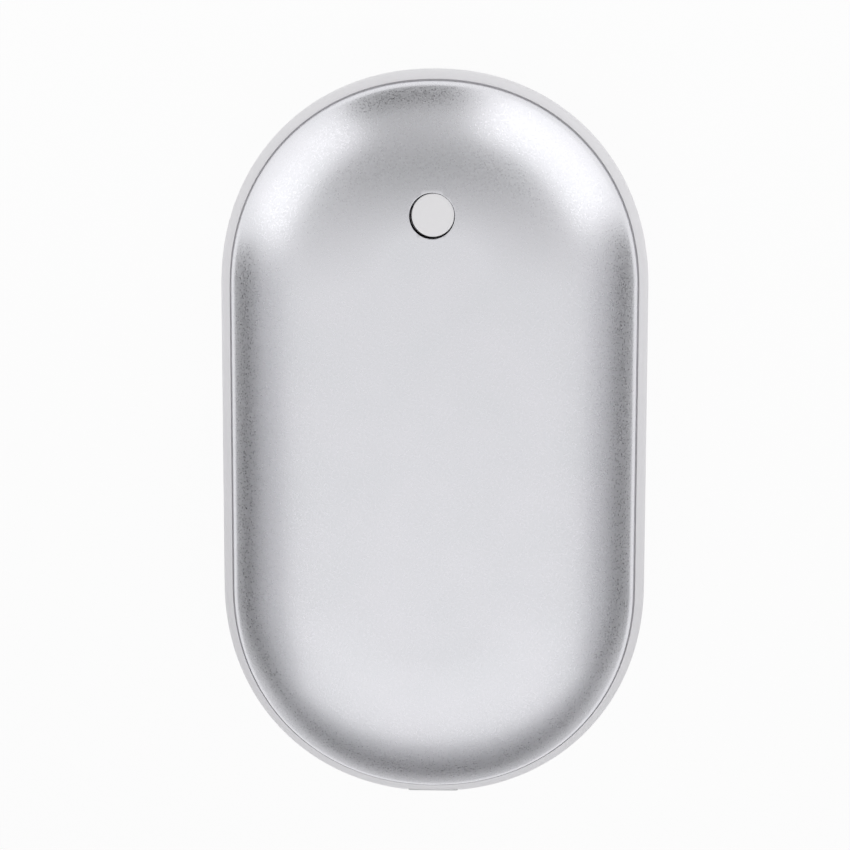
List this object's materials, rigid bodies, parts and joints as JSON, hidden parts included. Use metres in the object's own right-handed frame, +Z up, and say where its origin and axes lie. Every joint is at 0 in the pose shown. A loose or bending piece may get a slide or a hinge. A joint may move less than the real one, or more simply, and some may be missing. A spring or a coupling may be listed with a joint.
{
  "type": "rechargeable hand warmer",
  "caption": "Pocket hand warmer: two domed metal shells on a plastic band, with a round push button on the front, a charging socket in the end and heaters, cells and boards inside.",
  "frame": {"origin": "middle of the flat of the rear shell, which the warmer lies on", "axes": "+Z up out of the front face with the button, +Y along the length towards the button end, +X across the width; the charging socket faces -Y"},
  "size_m": [0.062, 0.1067, 0.027],
  "materials": {
    "blasted_aluminium": "bead blasted, clear anodised",
    "band_plastic": "moulded, fine matt",
    "cap_plastic": "translucent white, moulded",
    "liner_plastic": "moulded, unpainted",
    "heater_film": "polyimide film",
    "foam": "closed-cell foam",
    "cell_wrap": "shrink wrap over the can",
    "nickel": "nickel plated strip",
    "steel": "zinc plated",
    "board": "glass-fibre board with solder mask",
    "chip": "moulded epoxy",
    "switch_plastic": "moulded nylon",
    "led": "clear epoxy",
    "red_lead": "silicone insulation",
    "black_lead": "silicone insulation",
    "white_lead": "silicone insulation"
  },
  "bodies": {
    "root": {"front_shell": "blasted_aluminium", "rear_shell": "blasted_aluminium", "mid_frame": "band_plastic", "front_liner": "liner_plastic", "rear_liner": "liner_plastic", "front_heater_film": "heater_film", "rear_heater_film": "heater_film", "front_foam_pad": "foam", "rear_foam_pad": "foam", "battery_cell_left": "cell_wrap", "battery_cell_right": "cell_wrap", "nickel_strip_top": "nickel", "nickel_strip_bottom": "nickel", "switch_body": "switch_plastic", "switch_snap_disc": "steel", "button_board": "board", "led_left": "led", "led_right": "led", "button_board_screw_left": "steel", "button_board_screw_right": "steel", "main_board": "board", "usb_port_shell": "steel", "usb_port_tongue": "switch_plastic", "charge_inductor": "chip", "charger_chip": "chip", "heater_driver_chip": "chip", "main_board_screw_left": "steel", "main_board_screw_right": "steel", "case_screw_1": "steel", "case_screw_2": "steel", "case_screw_3": "steel", "case_screw_4": "steel", "button_cable": "white_lead", "battery_lead_positive": "red_lead", "battery_lead_negative": "black_lead", "front_heater_lead": "white_lead", "rear_heater_lead": "white_lead", "temperature_sensor": "black_lead"},
    "button": {"button_cap": "cap_plastic"},
    "plunger": {"switch_plunger": "switch_plastic"}
  },
  "joints": [
    {"name": "button_press", "type": "slide", "parent": "root", "child": "button", "axis": [0, 0, -1], "range_m": [0, 0.0003], "stiffness_N_per_m": 4000},
    {"name": "switch_press", "type": "slide", "parent": "root", "child": "plunger", "axis": [0, 0, -1], "range_m": [0, 0.0003]}
  ],
  "couplings": [
    {"joint": "switch_press", "follows": "button_press", "ratio": 1}
  ]
}
